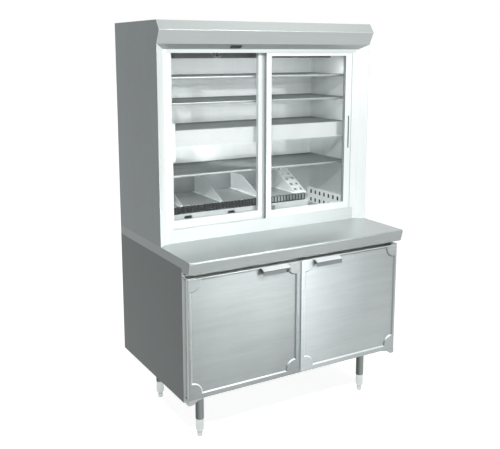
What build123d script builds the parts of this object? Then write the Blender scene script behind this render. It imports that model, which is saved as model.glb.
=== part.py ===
import math
import os
from build123d import *

os.makedirs("parts", exist_ok=True)

# Free-standing display case: a base cabinet on legs, a work counter and a display
# section with two sliding glass doors. Units are mm. X runs across the front,
# Y runs from the front to the back, Z is up, and the floor is at Z = 0.

# Outer size
width = 1219.2
bodyDepth = 750.0
noseReach = 81.0
legHeight = 238.0
counterZ = 922.0

# Wall thicknesses
wallThick = 49.6
counterThick = 44.0
baseBackThick = 50.0
backThick = 60.0
roofThick = 90.0
floorThick = 24.0
skin = 1.5
sheet = 2.0
seat = 0.3

# Clear rises in the display section, from the ceiling down to its floor
topBay = 170.0
secondBay = 122.0
thirdBay = 134.0
fourthBay = 214.0
floorBay = 292.0

# Front of the display section
upperSetback = 228.0
faceRecess = 34.0
canopyNose = 32.0
canopyNoseDrop = 44.0
soffitDrop = 40.0
soffitRise = 24.0

# Counter nose
noseDrop = 60.0
noseLean = 13.0
noseRadius = 7.0

# Base doors
doorProud = 48.0
doorPan = 22.0
doorLiner = 16.0
doorGap = 2.0
doorSide = 5.6
doorLift = 27.0
doorTopGap = 42.0
pressDepth = 6.0
pressRadius = 52.0
pressOuter = 18.0
pressInner = 28.0
pressTop = 11.0
pressBottom = 28.0
gasketWidth = 14.0
hingeInset = 12.0
hingePin = 4.0
hingeClear = 0.05
handleLength = 150.0
handleCentre = 151.0
handleReach = 26.0

# Sliding doors
slideThick = 20.0
trackGap = 4.0
lipSide = 37.0
lipTop = 17.0
lipSill = 65.0
lipOver = 4.0
slideBite = 18.0
slideGap = 2.5
slideOverlap = 6.0
slideSunk = 18.0
frontRaise = 14.0
rearRaise = 30.0
frontHeadPlay = 3.0
rearHeadPlay = 4.0
ribTall = 7.0
stileWide = 35.0
railTall = 52.0
glassThick = 6.0
glassBite = 8.0
pullHeight = 173.0

# Shelves
baseShelfRise = 262.0
shelfBar = 4.0
shelfBarTall = 10.0
shelfPlay = 4.0
shelfInset = 8.0
wire = 4.8
wirePitch = 25.4
rackWire = 4.0
rackPitch = 19.05
rackRise = 135.0
rackDrop = 35.0
rackPlay = 8.0

# Bins
binHeight = 88.0
binFirst = 106.0
binPitch = 223.0
binBackGap = 38.0
chuteWide = 72.0

# Legs
legInset = 122.6
legFront = 87.0
legBackInset = 190.0
tubeRadius = 20.6
footTall = 93.0
stemTall = 58.0
stemRadius = 9.5
stemClear = 0.05

# Derived positions
halfW = width / 2
frontY = noseReach - (bodyDepth + noseReach) / 2
backY = frontY + bodyDepth
noseY = frontY - noseReach
innerX = halfW - wallThick
skinX = halfW - skin
slabZ = counterZ - counterThick
upperY = frontY + upperSetback
faceY = upperY + faceRecess
backIn = backY - backThick
doorFrontY = frontY - doorProud
hingeY = doorFrontY + doorPan / 2
hingeX = halfW - doorSide - hingeInset
floorZ = counterZ + floorThick
ceilingZ = floorZ + floorBay + fourthBay + thirdBay + secondBay + topBay
topZ = ceilingZ + roofThick
lipX = innerX + lipOver
lipIn = lipX - lipSide
slideX = lipIn + slideBite
jambX = slideX + slideGap
frontTrackY = faceY + trackGap
rearTrackY = frontTrackY + slideThick + trackGap
trackBackY = rearTrackY + slideThick + trackGap
soffitZ = ceilingZ - soffitDrop
lowerZ = soffitZ + soffitRise
noseZ = topZ - canopyNoseDrop
sillZ = counterZ + lipSill
headZ = soffitZ - lipTop
slideBottomZ = sillZ - slideSunk
frontTopZ = headZ + frontRaise
rearTopZ = headZ + rearRaise
pullMidZ = (slideBottomZ + frontTopZ) / 2
doorBottomZ = legHeight + doorLift
doorTopZ = slabZ - doorTopGap
shelfTops = [
    ceilingZ - topBay,
    ceilingZ - topBay - secondBay,
    ceilingZ - topBay - secondBay - thirdBay,
    floorZ + floorBay,
]


def slab(x0, x1, y0, y1, z0, z1, mode=Mode.ADD):
    with Locations(((x0 + x1) / 2, (y0 + y1) / 2, (z0 + z1) / 2)):
        Box(x1 - x0, y1 - y0, z1 - z0, mode=mode)


def alongX(points, x0, x1, mode=Mode.ADD):
    with BuildSketch(Plane(origin=(x0, 0, 0), x_dir=(0, 1, 0), z_dir=(1, 0, 0))) as profile:
        with BuildLine():
            Polyline(*points, close=True)
        make_face()
    extrude(profile.sketch, amount=x1 - x0, mode=mode)


def alongY(points, y0, y1, mode=Mode.ADD):
    with BuildSketch(Plane(origin=(0, y1, 0), x_dir=(1, 0, 0), z_dir=(0, -1, 0))) as profile:
        with BuildLine():
            Polyline(*points, close=True)
        make_face()
    extrude(profile.sketch, amount=y1 - y0, mode=mode)


def alongZ(points, z0, z1, mode=Mode.ADD):
    with BuildSketch(Plane.XY.offset(z0)) as profile:
        with BuildLine():
            Polyline(*points, close=True)
        make_face()
    extrude(profile.sketch, amount=z1 - z0, mode=mode)


def ribbon(points, thick):
    # Closed outline of a bent sheet: the given line plus the same line moved to its left.
    moved = []
    last = len(points) - 1
    for i in range(len(points)):
        ax, ay = points[max(i - 1, 0)]
        bx, by = points[i]
        cx, cy = points[min(i + 1, last)]
        n1 = math.hypot(bx - ax, by - ay)
        n2 = math.hypot(cx - bx, cy - by)
        n1x, n1y = (-(by - ay) / n1, (bx - ax) / n1) if n1 else (0.0, 0.0)
        n2x, n2y = (-(cy - by) / n2, (cx - bx) / n2) if n2 else (0.0, 0.0)
        if not n1:
            n1x, n1y = n2x, n2y
        if not n2:
            n2x, n2y = n1x, n1y
        scale = thick / (1.0 + n1x * n2x + n1y * n2y)
        moved.append((bx + (n1x + n2x) * scale, by + (n1y + n2y) * scale))
    return list(points) + moved[::-1]


def mirrorX(points):
    return [(-x, y) for x, y in points][::-1]


# Base cabinet: foamed walls with steel faces, closed by the counter on top.
with BuildPart() as base_side_left:
    slab(-halfW, -innerX, frontY, backY, legHeight, slabZ)
base_side_left.part.label = "base_side_left"
export_step(base_side_left.part, "parts/base_side_left.step")

with BuildPart() as base_side_right:
    slab(innerX, halfW, frontY, backY, legHeight, slabZ)
base_side_right.part.label = "base_side_right"
export_step(base_side_right.part, "parts/base_side_right.step")

baseFloorZ = legHeight + 20.0
baseInZ = legHeight + 60.0
baseShelfTop = baseInZ + baseShelfRise
headRailZ = slabZ - 78.0
with BuildPart() as base_back:
    slab(-innerX, innerX, backY - baseBackThick, backY, baseFloorZ, slabZ)
base_back.part.label = "base_back"
export_step(base_back.part, "parts/base_back.step")

with BuildPart() as base_floor:
    slab(-innerX, innerX, frontY, backY - baseBackThick, baseFloorZ, baseInZ)
base_floor.part.label = "base_floor"
export_step(base_floor.part, "parts/base_floor.step")

with BuildPart() as base_front_frame:
    slab(-innerX, innerX, frontY, frontY + 40.0, headRailZ, slabZ)
    slab(-24.0, 24.0, frontY, frontY + 40.0, baseInZ, headRailZ)
base_front_frame.part.label = "base_front_frame"
export_step(base_front_frame.part, "parts/base_front_frame.step")

# Work counter: foamed slab with a rolled nose, a fascia that leans back and closed ends.
noseLine = [
    (frontY, counterZ),
    (noseY, counterZ),
    (noseY, counterZ - noseRadius - 4.0),
    (noseY + noseLean, counterZ - noseDrop),
    (noseY + noseLean + 18.0, counterZ - noseDrop),
]
capLine = [
    (frontY, counterZ),
    (noseY, counterZ),
    (noseY, counterZ - noseRadius - 4.0),
    (noseY + noseLean, counterZ - noseDrop),
    (frontY, counterZ - noseDrop),
]
with BuildPart() as counter_top:
    alongX(ribbon(noseLine, sheet), -halfW, halfW)
    alongX(capLine, -halfW, -halfW + sheet)
    alongX(capLine, halfW - sheet, halfW)
    slab(-halfW, halfW, frontY, backY, slabZ, counterZ)
    noseEdges = counter_top.edges().filter_by(Axis.X)
    noseEdges = [e for e in noseEdges if abs(e.center().Y - noseY) < 0.1 and abs(e.center().Z - counterZ) < 0.1]
    fillet(noseEdges, radius=noseRadius)
counter_top.part.label = "counter_top"
export_step(counter_top.part, "parts/counter_top.step")


# Hinged base doors. The front is pressed in, with quarter circles cut back at its corners.
def pressOutline(x0, x1, z0, z1, r):
    m = r * math.sqrt(0.5)
    Line((x0 + r, z0), (x1 - r, z0))
    ThreePointArc((x1 - r, z0), (x1 - m, z0 + m), (x1, z0 + r))
    Line((x1, z0 + r), (x1, z1 - r))
    ThreePointArc((x1, z1 - r), (x1 - m, z1 - m), (x1 - r, z1))
    Line((x1 - r, z1), (x0 + r, z1))
    ThreePointArc((x0 + r, z1), (x0 + m, z1 - m), (x0, z1 - r))
    Line((x0, z1 - r), (x0, z0 + r))
    ThreePointArc((x0, z0 + r), (x0 + m, z0 + m), (x0 + r, z0))


def doorPanel(x0, x1, pressX0, pressX1, pinX):
    slab(x0, x1, doorFrontY, doorFrontY + doorPan, doorBottomZ, doorTopZ)
    panel = BuildPart._get_context()
    frontEdges = panel.edges().filter_by_position(Axis.Y, doorFrontY - 0.1, doorFrontY + 0.1)
    chamfer(frontEdges, length=1.5)
    with BuildSketch(Plane(origin=(0, doorFrontY, 0), x_dir=(1, 0, 0), z_dir=(0, -1, 0))) as profile:
        with BuildLine():
            pressOutline(pressX0, pressX1, doorBottomZ + pressBottom, doorTopZ - pressTop, pressRadius)
        make_face()
    extrude(profile.sketch, amount=-pressDepth, mode=Mode.SUBTRACT)
    rim = panel.edges().filter_by_position(Axis.Y, doorFrontY - 0.1, doorFrontY + 0.1)
    rim = [e for e in rim if pressX0 - 1 < e.center().X < pressX1 + 1]
    rim = [e for e in rim if doorBottomZ + pressBottom - 1 < e.center().Z < doorTopZ - pressTop + 1]
    chamfer(rim, length=pressDepth - 0.4)
    with Locations((pinX, hingeY, doorBottomZ + 8.0), (pinX, hingeY, doorTopZ - 8.0)):
        Cylinder(hingePin + hingeClear, 16.0, mode=Mode.SUBTRACT)


doorOut = halfW - doorSide
with BuildPart() as door_left:
    doorPanel(-doorOut, -doorGap, -doorOut + pressOuter, -doorGap - pressInner, -hingeX)
door_left.part.label = "door_left"
export_step(door_left.part, "parts/door_left.step")

with BuildPart() as door_right:
    doorPanel(doorGap, doorOut, doorGap + pressInner, doorOut - pressOuter, hingeX)
door_right.part.label = "door_right"
export_step(door_right.part, "parts/door_right.step")

linerIn = doorGap + 10.0
linerOut = doorOut - 10.0
linerY = doorFrontY + doorPan
gasketY = linerY + doorLiner
with BuildPart() as door_left_liner:
    slab(-linerOut, -linerIn, linerY, gasketY, doorBottomZ + 10.0, doorTopZ - 10.0)
door_left_liner.part.label = "door_left_liner"
export_step(door_left_liner.part, "parts/door_left_liner.step")

with BuildPart() as door_right_liner:
    slab(linerIn, linerOut, linerY, gasketY, doorBottomZ + 10.0, doorTopZ - 10.0)
door_right_liner.part.label = "door_right_liner"
export_step(door_right_liner.part, "parts/door_right_liner.step")


def gasketRing(x0, x1, z0, z1):
    slab(x0, x1, gasketY, frontY - seat, z0, z1)
    slab(x0 + gasketWidth, x1 - gasketWidth, gasketY - 1.0, frontY + 1.0,
         z0 + gasketWidth, z1 - gasketWidth, Mode.SUBTRACT)


with BuildPart() as door_left_gasket:
    gasketRing(-linerOut, -linerIn, doorBottomZ + 10.0, doorTopZ - 10.0)
door_left_gasket.part.label = "door_left_gasket"
export_step(door_left_gasket.part, "parts/door_left_gasket.step")

with BuildPart() as door_right_gasket:
    gasketRing(linerIn, linerOut, doorBottomZ + 10.0, doorTopZ - 10.0)
door_right_gasket.part.label = "door_right_gasket"
export_step(door_right_gasket.part, "parts/door_right_gasket.step")

# Lip pulls: a folded strip that slopes out from the top of the door and turns down.
pullLine = [
    (doorFrontY, doorTopZ - 26.0),
    (doorFrontY, doorTopZ - 1.0),
    (doorFrontY - handleReach, doorTopZ - 13.0),
    (doorFrontY - handleReach, doorTopZ - 35.0),
]
with BuildPart() as handle_left:
    alongX(ribbon(pullLine, sheet), -handleCentre - handleLength / 2, -handleCentre + handleLength / 2)
handle_left.part.label = "handle_left"
export_step(handle_left.part, "parts/handle_left.step")

with BuildPart() as handle_right:
    alongX(ribbon(pullLine, sheet), handleCentre - handleLength / 2, handleCentre + handleLength / 2)
handle_right.part.label = "handle_right"
export_step(handle_right.part, "parts/handle_right.step")

# Hinge brackets: a flared lower one that carries the door and a plain upper one.
lowBracket = [
    (halfW - 3.6, legHeight + 2.0),
    (halfW - 3.6, doorBottomZ - 0.5),
    (halfW - 82.0, doorBottomZ - 0.5),
    (halfW - 82.0, doorBottomZ - 3.0),
    (halfW - 50.0, doorBottomZ - 8.0),
    (halfW - 26.0, legHeight + 2.0),
]


def hingePair(points, x0, x1, pinX):
    alongY(points, doorFrontY + 2.0, frontY)
    slab(x0, x1, doorFrontY + 2.0, frontY, doorTopZ + 0.5, doorTopZ + 5.5)
    slab(x0, x1, frontY - 4.0, frontY, doorTopZ + 5.5, doorTopZ + 24.0)
    with Locations((pinX, hingeY, doorBottomZ + 6.0), (pinX, hingeY, doorTopZ - 6.0)):
        Cylinder(hingePin, 14.0)


with BuildPart() as hinges_left:
    hingePair(mirrorX(lowBracket), -halfW + 3.6, -halfW + 46.0, -hingeX)
hinges_left.part.label = "hinges_left"
export_step(hinges_left.part, "parts/hinges_left.step")

with BuildPart() as hinges_right:
    hingePair(lowBracket, halfW - 46.0, halfW - 3.6, hingeX)
hinges_right.part.label = "hinges_right"
export_step(hinges_right.part, "parts/hinges_right.step")

# Legs: two channels under the floor, four tubes on plates, four screw-in feet with hexagon tips.
legX = halfW - legInset
railHalf = 30.0
railLine = [
    (-railHalf, legHeight),
    (-railHalf, baseFloorZ),
    (railHalf, baseFloorZ),
    (railHalf, legHeight),
]
with BuildPart() as leg_rails:
    for side in (-1, 1):
        line = [(x + side * legX, z) for x, z in railLine]
        alongY(ribbon(line, -2.5), frontY + 25.0, backY - 45.0)
leg_rails.part.label = "leg_rails"
export_step(leg_rails.part, "parts/leg_rails.step")

legSpots = [
    (-legX, frontY + legFront),
    (legX, frontY + legFront),
    (-legX, backY - legBackInset),
    (legX, backY - legBackInset),
]
roundSides = 32
plateThick = 5.0
tubeTall = legHeight - plateThick - footTall
boreDeep = stemTall + 8.0
with BuildPart() as legs:
    for x, y in legSpots:
        slab(x - 45.0, x + 45.0, y - 45.0, y + 45.0, legHeight - plateThick, legHeight)
        with BuildSketch(Plane.XY.offset(footTall)) as tube:
            with Locations((x, y)):
                RegularPolygon(tubeRadius, roundSides)
        extrude(tube.sketch, amount=tubeTall)
        with Locations((x, y, footTall + boreDeep / 2)):
            Cylinder(stemRadius + stemClear, boreDeep, mode=Mode.SUBTRACT)
legs.part.label = "legs"
export_step(legs.part, "parts/legs.step")

footRadius = 19.5
tipAcross = 26.0
tipTall = 28.0
collarTall = 9.0


def bulletFoot(spot):
    bodyFoot = tipTall + collarTall
    with BuildSketch(Plane.XY.offset(bodyFoot)) as body:
        with Locations(spot):
            RegularPolygon(footRadius, roundSides)
    extrude(body.sketch, amount=footTall - seat - bodyFoot)
    with Locations((spot[0], spot[1], bodyFoot + (footTall + stemTall - bodyFoot) / 2)):
        Cylinder(stemRadius, footTall + stemTall - bodyFoot)
    with BuildSketch(Plane.XY) as hexagon:
        with Locations(spot):
            RegularPolygon(tipAcross / 2, 6, major_radius=False)
    extrude(hexagon.sketch, amount=tipTall)
    with BuildSketch(Plane.XY.offset(tipTall)) as collar:
        with Locations(spot):
            RegularPolygon(footRadius - 4.0, 12)
    with BuildSketch(Plane.XY.offset(tipTall + collarTall)) as shoulder:
        with Locations(spot):
            RegularPolygon(footRadius - 0.4, 12)
    loft([collar.sketch, shoulder.sketch])


with BuildPart() as foot_front_left:
    bulletFoot(legSpots[0])
foot_front_left.part.label = "foot_front_left"
export_step(foot_front_left.part, "parts/foot_front_left.step")

with BuildPart() as foot_front_right:
    bulletFoot(legSpots[1])
foot_front_right.part.label = "foot_front_right"
export_step(foot_front_right.part, "parts/foot_front_right.step")

with BuildPart() as foot_back_left:
    bulletFoot(legSpots[2])
foot_back_left.part.label = "foot_back_left"
export_step(foot_back_left.part, "parts/foot_back_left.step")

with BuildPart() as foot_back_right:
    bulletFoot(legSpots[3])
foot_back_right.part.label = "foot_back_right"
export_step(foot_back_right.part, "parts/foot_back_right.step")

# Display section: outer side skins, foamed walls, back, roof and floor.
sideLine = [
    (upperY, counterZ),
    (upperY, lowerZ),
    (upperY - canopyNose, noseZ),
    (upperY - 2.0, topZ),
    (backY, topZ),
    (backY, counterZ),
]
with BuildPart() as side_upper_left:
    alongX(sideLine, -halfW, -skinX)
side_upper_left.part.label = "side_upper_left"
export_step(side_upper_left.part, "parts/side_upper_left.step")

with BuildPart() as side_upper_right:
    alongX(sideLine, skinX, halfW)
side_upper_right.part.label = "side_upper_right"
export_step(side_upper_right.part, "parts/side_upper_right.step")

with BuildPart() as wall_left:
    slab(-skinX, -innerX, trackBackY - 2.0, backIn, counterZ, ceilingZ)
wall_left.part.label = "wall_left"
export_step(wall_left.part, "parts/wall_left.step")

with BuildPart() as wall_right:
    slab(innerX, skinX, trackBackY - 2.0, backIn, counterZ, ceilingZ)
wall_right.part.label = "wall_right"
export_step(wall_right.part, "parts/wall_right.step")

with BuildPart() as back_panel:
    slab(-skinX, skinX, backIn, backY, counterZ, ceilingZ)
back_panel.part.label = "back_panel"
export_step(back_panel.part, "parts/back_panel.step")

with BuildPart() as roof:
    slab(-skinX, skinX, faceY, backY, ceilingZ, topZ)
roof.part.label = "roof"
export_step(roof.part, "parts/roof.step")

with BuildPart() as display_floor:
    slab(-innerX, innerX, trackBackY, backIn, counterZ, floorZ)
display_floor.part.label = "display_floor"
export_step(display_floor.part, "parts/display_floor.step")

# Canopy: one folded sheet with a blunt arrow profile and a soffit that slopes back.
canopyLine = [
    (faceY + 6.0, soffitZ - 6.0 * soffitRise / faceRecess),
    (upperY, lowerZ),
    (upperY - canopyNose, noseZ),
    (upperY - 2.0, topZ),
    (faceY + 6.0, topZ),
]
switchX = -192.0
switchSlope = math.degrees(math.atan2(soffitRise, faceRecess))
switchY = (upperY + faceY) / 2
switchZ = (lowerZ + soffitZ) / 2
with BuildPart() as canopy:
    alongX(ribbon(canopyLine, -skin), -skinX, skinX)
    slab(-halfW, halfW, faceY, faceY + 30.0, counterZ, topZ + 5.0, Mode.SUBTRACT)
    bendEdges = [e for e in canopy.edges().filter_by(Axis.X) if abs(e.center().Y - upperY + canopyNose) < 0.2]
    fillet(bendEdges, radius=4.0)
    with Locations(Location((switchX, switchY, switchZ), (-switchSlope, 0, 0))):
        Box(24.6, 12.6, 12.0, mode=Mode.SUBTRACT)
canopy.part.label = "canopy"
export_step(canopy.part, "parts/canopy.step")

with BuildPart() as switch_plate:
    with Locations(Location((switchX, switchY, switchZ), (-switchSlope, 0, 0))):
        with Locations((0, 0, -1.0)):
            Box(60.0, 22.0, 2.0)
            Box(24.6, 12.6, 4.0, mode=Mode.SUBTRACT)
switch_plate.part.label = "switch_plate"
export_step(switch_plate.part, "parts/switch_plate.step")

with BuildPart() as switch_rocker:
    with Locations(Location((switchX, switchY, switchZ), (-switchSlope, 0, 0))):
        with Locations((0, 0, 0.5)):
            Box(23.6, 12.0, 6.0)
switch_rocker.part.label = "switch_rocker"
export_step(switch_rocker.part, "parts/switch_rocker.step")

# Jambs: splayed from the side skins to a flat lip, with a pocket for the door edges.
jambLine = [
    (skinX, upperY),
    (skinX, trackBackY - 2.0),
    (jambX, trackBackY - 2.0),
    (jambX, faceY),
    (lipX, faceY),
]
overSoffit = [
    (upperY - 1.0, lowerZ + soffitRise / faceRecess),
    (faceY, soffitZ),
    (faceY, ceilingZ + 1.0),
    (upperY - 1.0, ceilingZ + 1.0),
]
with BuildPart() as jamb_left:
    alongZ(mirrorX(jambLine), counterZ, ceilingZ)
    slab(-jambX - 1.0, -lipIn, faceY, faceY + 2.0, sillZ, headZ)
    alongX(overSoffit, -halfW, -lipIn + 5.0, Mode.SUBTRACT)
jamb_left.part.label = "jamb_left"
export_step(jamb_left.part, "parts/jamb_left.step")

with BuildPart() as jamb_right:
    alongZ(jambLine, counterZ, ceilingZ)
    slab(lipIn, jambX + 1.0, faceY, faceY + 2.0, sillZ, headZ)
    alongX(overSoffit, lipIn - 5.0, halfW, Mode.SUBTRACT)
jamb_right.part.label = "jamb_right"
export_step(jamb_right.part, "parts/jamb_right.step")

# Head and sill: two channels each, one for every door. The doors straddle the sill ribs.
ribY = frontTrackY + slideThick + 1.0
headLine = [
    (faceY, headZ),
    (faceY + 2.0, headZ),
    (faceY + 2.0, frontTopZ + frontHeadPlay),
    (ribY, frontTopZ + frontHeadPlay),
    (ribY, headZ + 3.0),
    (ribY + 2.0, headZ + 3.0),
    (ribY + 2.0, rearTopZ + rearHeadPlay),
    (trackBackY - 2.0, rearTopZ + rearHeadPlay),
    (trackBackY - 2.0, headZ),
    (trackBackY, headZ),
    (trackBackY, ceilingZ),
    (faceY, ceilingZ),
]
with BuildPart() as head_track:
    alongX(headLine, -jambX, jambX)
head_track.part.label = "head_track"
export_step(head_track.part, "parts/head_track.step")

channelZ = slideBottomZ - 3.0
ribTopZ = channelZ + ribTall
frontRib = frontTrackY + slideThick / 2
rearRib = rearTrackY + slideThick / 2
sillLine = [
    (faceY + 1.0, counterZ),
    (faceY + 1.0, counterZ + 19.0),
    (faceY, counterZ + 20.0),
    (faceY, sillZ),
    (faceY + 2.0, sillZ),
    (faceY + 2.0, channelZ),
    (frontRib - 2.0, channelZ),
    (frontRib - 2.0, ribTopZ),
    (frontRib + 2.0, ribTopZ),
    (frontRib + 2.0, channelZ),
    (ribY, channelZ),
    (ribY, channelZ + 12.0),
    (ribY + 2.0, channelZ + 12.0),
    (ribY + 2.0, channelZ),
    (rearRib - 2.0, channelZ),
    (rearRib - 2.0, ribTopZ),
    (rearRib + 2.0, ribTopZ),
    (rearRib + 2.0, channelZ),
    (trackBackY - 2.0, channelZ),
    (trackBackY - 2.0, channelZ + 12.0),
    (trackBackY, channelZ + 12.0),
    (trackBackY, counterZ),
]
with BuildPart() as sill_track:
    alongX(sillLine, -jambX, jambX)
sill_track.part.label = "sill_track"
export_step(sill_track.part, "parts/sill_track.step")


# Sliding doors: welded frames with a pane let into a groove all round.
def slideFrame(x0, x1, topZ1, y0, gx0, gx1, gz0, gz1, block):
    y1 = y0 + slideThick
    midY = (y0 + y1) / 2
    slab(x0, x1, y0, y1, slideBottomZ, topZ1)
    slab(gx0, gx1, y0 - 1.0, y1 + 1.0, gz0, gz1, Mode.SUBTRACT)
    if block:
        slab(gx0 - 1.0, gx0 + block, y0, y1, pullMidZ - pullHeight / 2 - 4.0, pullMidZ + pullHeight / 2 + 4.0)
    grow = glassBite + seat
    half = glassThick / 2 + seat
    slab(gx0 - grow, gx1 + grow, midY - half, midY + half, gz0 - grow, gz1 + grow, Mode.SUBTRACT)
    slab(x0 - 1.0, x1 + 1.0, midY - 2.5, midY + 2.5, slideBottomZ - 1.0, ribTopZ + seat, Mode.SUBTRACT)


pullStile = 59.0
meetStile = 30.0
frontHeadRail = 30.0
rearHeadRail = 28.0
frontGlass = (
    meetStile - slideOverlap,
    slideX - pullStile,
    slideBottomZ + railTall,
    frontTopZ - frontHeadRail,
)
rearGlass = (
    -slideX + stileWide,
    slideOverlap - meetStile - 14.6,
    slideBottomZ + railTall + 3.0,
    rearTopZ - rearHeadRail,
)
pullFrontX = slideX - 34.0
pullRearX = -slideX + 25.0
with BuildPart() as slider_front_frame:
    slideFrame(-slideOverlap, slideX, frontTopZ, frontTrackY, *frontGlass, 0.0)
    slab(pullFrontX - 4.0, pullFrontX + 4.0, frontTrackY - 1.0, frontTrackY + 12.0,
         pullMidZ - pullHeight / 2, pullMidZ + pullHeight / 2, Mode.SUBTRACT)
slider_front_frame.part.label = "slider_front_frame"
export_step(slider_front_frame.part, "parts/slider_front_frame.step")

with BuildPart() as slider_rear_frame:
    slideFrame(-slideX, slideOverlap, rearTopZ, rearTrackY, *rearGlass, 14.0)
    slab(pullRearX - 4.0, pullRearX + 4.0, rearTrackY - 1.0, rearTrackY + 5.0,
         pullMidZ - pullHeight / 2, pullMidZ + pullHeight / 2, Mode.SUBTRACT)
slider_rear_frame.part.label = "slider_rear_frame"
export_step(slider_rear_frame.part, "parts/slider_rear_frame.step")


def pane(box, y0):
    midY = y0 + slideThick / 2
    slab(box[0] - glassBite, box[1] + glassBite, midY - glassThick / 2, midY + glassThick / 2,
         box[2] - glassBite, box[3] + glassBite)


with BuildPart() as slider_front_glass:
    pane(frontGlass, frontTrackY)
slider_front_glass.part.label = "slider_front_glass"
export_step(slider_front_glass.part, "parts/slider_front_glass.step")

with BuildPart() as slider_rear_glass:
    pane(rearGlass, rearTrackY)
slider_rear_glass.part.label = "slider_rear_glass"
export_step(slider_rear_glass.part, "parts/slider_rear_glass.step")

# Wire shelves: a flat bar frame with wires welded in from the front to the back.
shelfX = innerX - shelfPlay
shelfFront = trackBackY + shelfInset
shelfBack = backIn - 2.0


def wireShelf(x0, x1, y0, y1, top, pitch):
    slab(x0, x1, y0, y0 + shelfBar, top - shelfBarTall, top)
    slab(x0, x1, y1 - shelfBar, y1, top - shelfBarTall, top)
    slab(x0, x0 + shelfBar, y0, y1, top - shelfBarTall, top)
    slab(x1 - shelfBar, x1, y0, y1, top - shelfBarTall, top)
    count = int((x1 - x0 - 20.0) / pitch)
    start = (x0 + x1 - (count - 1) * pitch) / 2
    spots = [(start + i * pitch, top - 1.0) for i in range(count)]
    with BuildSketch(Plane(origin=(0, y1 - shelfBar / 2, 0), x_dir=(1, 0, 0), z_dir=(0, -1, 0))) as row:
        with Locations(*spots):
            Polygon((-wire / 2, 0.0), (0.0, -wire), (wire / 2, 0.0), align=None)
    extrude(row.sketch, amount=y1 - y0 - shelfBar)


with BuildPart() as shelf_1:
    wireShelf(-shelfX, shelfX, shelfFront, shelfBack, shelfTops[0], wirePitch)
shelf_1.part.label = "shelf_1"
export_step(shelf_1.part, "parts/shelf_1.step")

with BuildPart() as shelf_2:
    wireShelf(-shelfX, shelfX, shelfFront, shelfBack, shelfTops[1], wirePitch)
shelf_2.part.label = "shelf_2"
export_step(shelf_2.part, "parts/shelf_2.step")

with BuildPart() as shelf_3:
    wireShelf(-shelfX, shelfX, shelfFront, shelfBack, shelfTops[2], wirePitch)
shelf_3.part.label = "shelf_3"
export_step(shelf_3.part, "parts/shelf_3.step")

with BuildPart() as shelf_4:
    wireShelf(-shelfX, shelfX, shelfFront, shelfBack, shelfTops[3], wirePitch)
shelf_4.part.label = "shelf_4"
export_step(shelf_4.part, "parts/shelf_4.step")

baseShelfFront = frontY + 60.0
baseShelfBack = backY - baseBackThick - 20.0
with BuildPart() as base_shelf:
    wireShelf(-shelfX, shelfX, baseShelfFront, baseShelfBack, baseShelfTop, 2 * wirePitch)
base_shelf.part.label = "base_shelf"
export_step(base_shelf.part, "parts/base_shelf.step")

# Shelf clips: small angles on the side walls, four under every shelf.
clipLine = [
    (innerX, 0.0),
    (innerX, -18.0),
    (innerX - 2.0, -18.0),
    (innerX - 2.0, -2.0),
    (innerX - 13.0, -2.0),
    (innerX - 13.0, 0.0),
]
with BuildPart() as shelf_clips:
    clipSpots = [(top, y) for top in shelfTops for y in (shelfFront + 30.0, shelfBack - 30.0)]
    clipSpots += [(baseShelfTop, y) for y in (baseShelfFront + 60.0, baseShelfBack - 60.0)]
    for top, y in clipSpots:
        line = [(x, z + top - shelfBarTall) for x, z in clipLine]
        alongY(line, y - 12.0, y + 12.0)
        alongY(mirrorX(line), y - 12.0, y + 12.0)
shelf_clips.part.label = "shelf_clips"
export_step(shelf_clips.part, "parts/shelf_clips.step")

# White valance hooked on the front of the third shelf, with a tube lamp behind it.
valanceTop = shelfTops[2] + skin
valanceZ = shelfTops[2] - 76.0
valanceY = shelfFront - 2.0
valanceLine = [
    (valanceY + 40.0, valanceZ),
    (valanceY, valanceZ),
    (valanceY, valanceTop),
    (valanceY + 16.0, valanceTop),
]
with BuildPart() as valance:
    alongX(ribbon(valanceLine, -skin), -shelfX + 4.0, shelfX - 4.0)
valance.part.label = "valance"
export_step(valance.part, "parts/valance.step")

lampRadius = 8.0
lampHalf = innerX - 36.0
holderOut = lampHalf + 16.0
midLampY = valanceY + 26.0
midLampZ = valanceZ + 28.0
topLampY = trackBackY + 26.0
topLampZ = ceilingZ - 34.0
with BuildPart() as lamps:
    with Locations(Location((0, midLampY, midLampZ), (0, 90, 0)), Location((0, topLampY, topLampZ), (0, 90, 0))):
        Cylinder(lampRadius, 2 * lampHalf)
lamps.part.label = "lamps"
export_step(lamps.part, "parts/lamps.step")

with BuildPart() as lamp_holders:
    for x0, x1 in ((lampHalf, holderOut), (-holderOut, -lampHalf)):
        slab(x0, x1, midLampY - 12.0, midLampY + 12.0, valanceZ + skin, midLampZ + 14.0)
        slab(x0, x1, topLampY - 12.0, topLampY + 12.0, topLampZ - 14.0, ceilingZ)
lamp_holders.part.label = "lamp_holders"
export_step(lamp_holders.part, "parts/lamp_holders.step")

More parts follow.
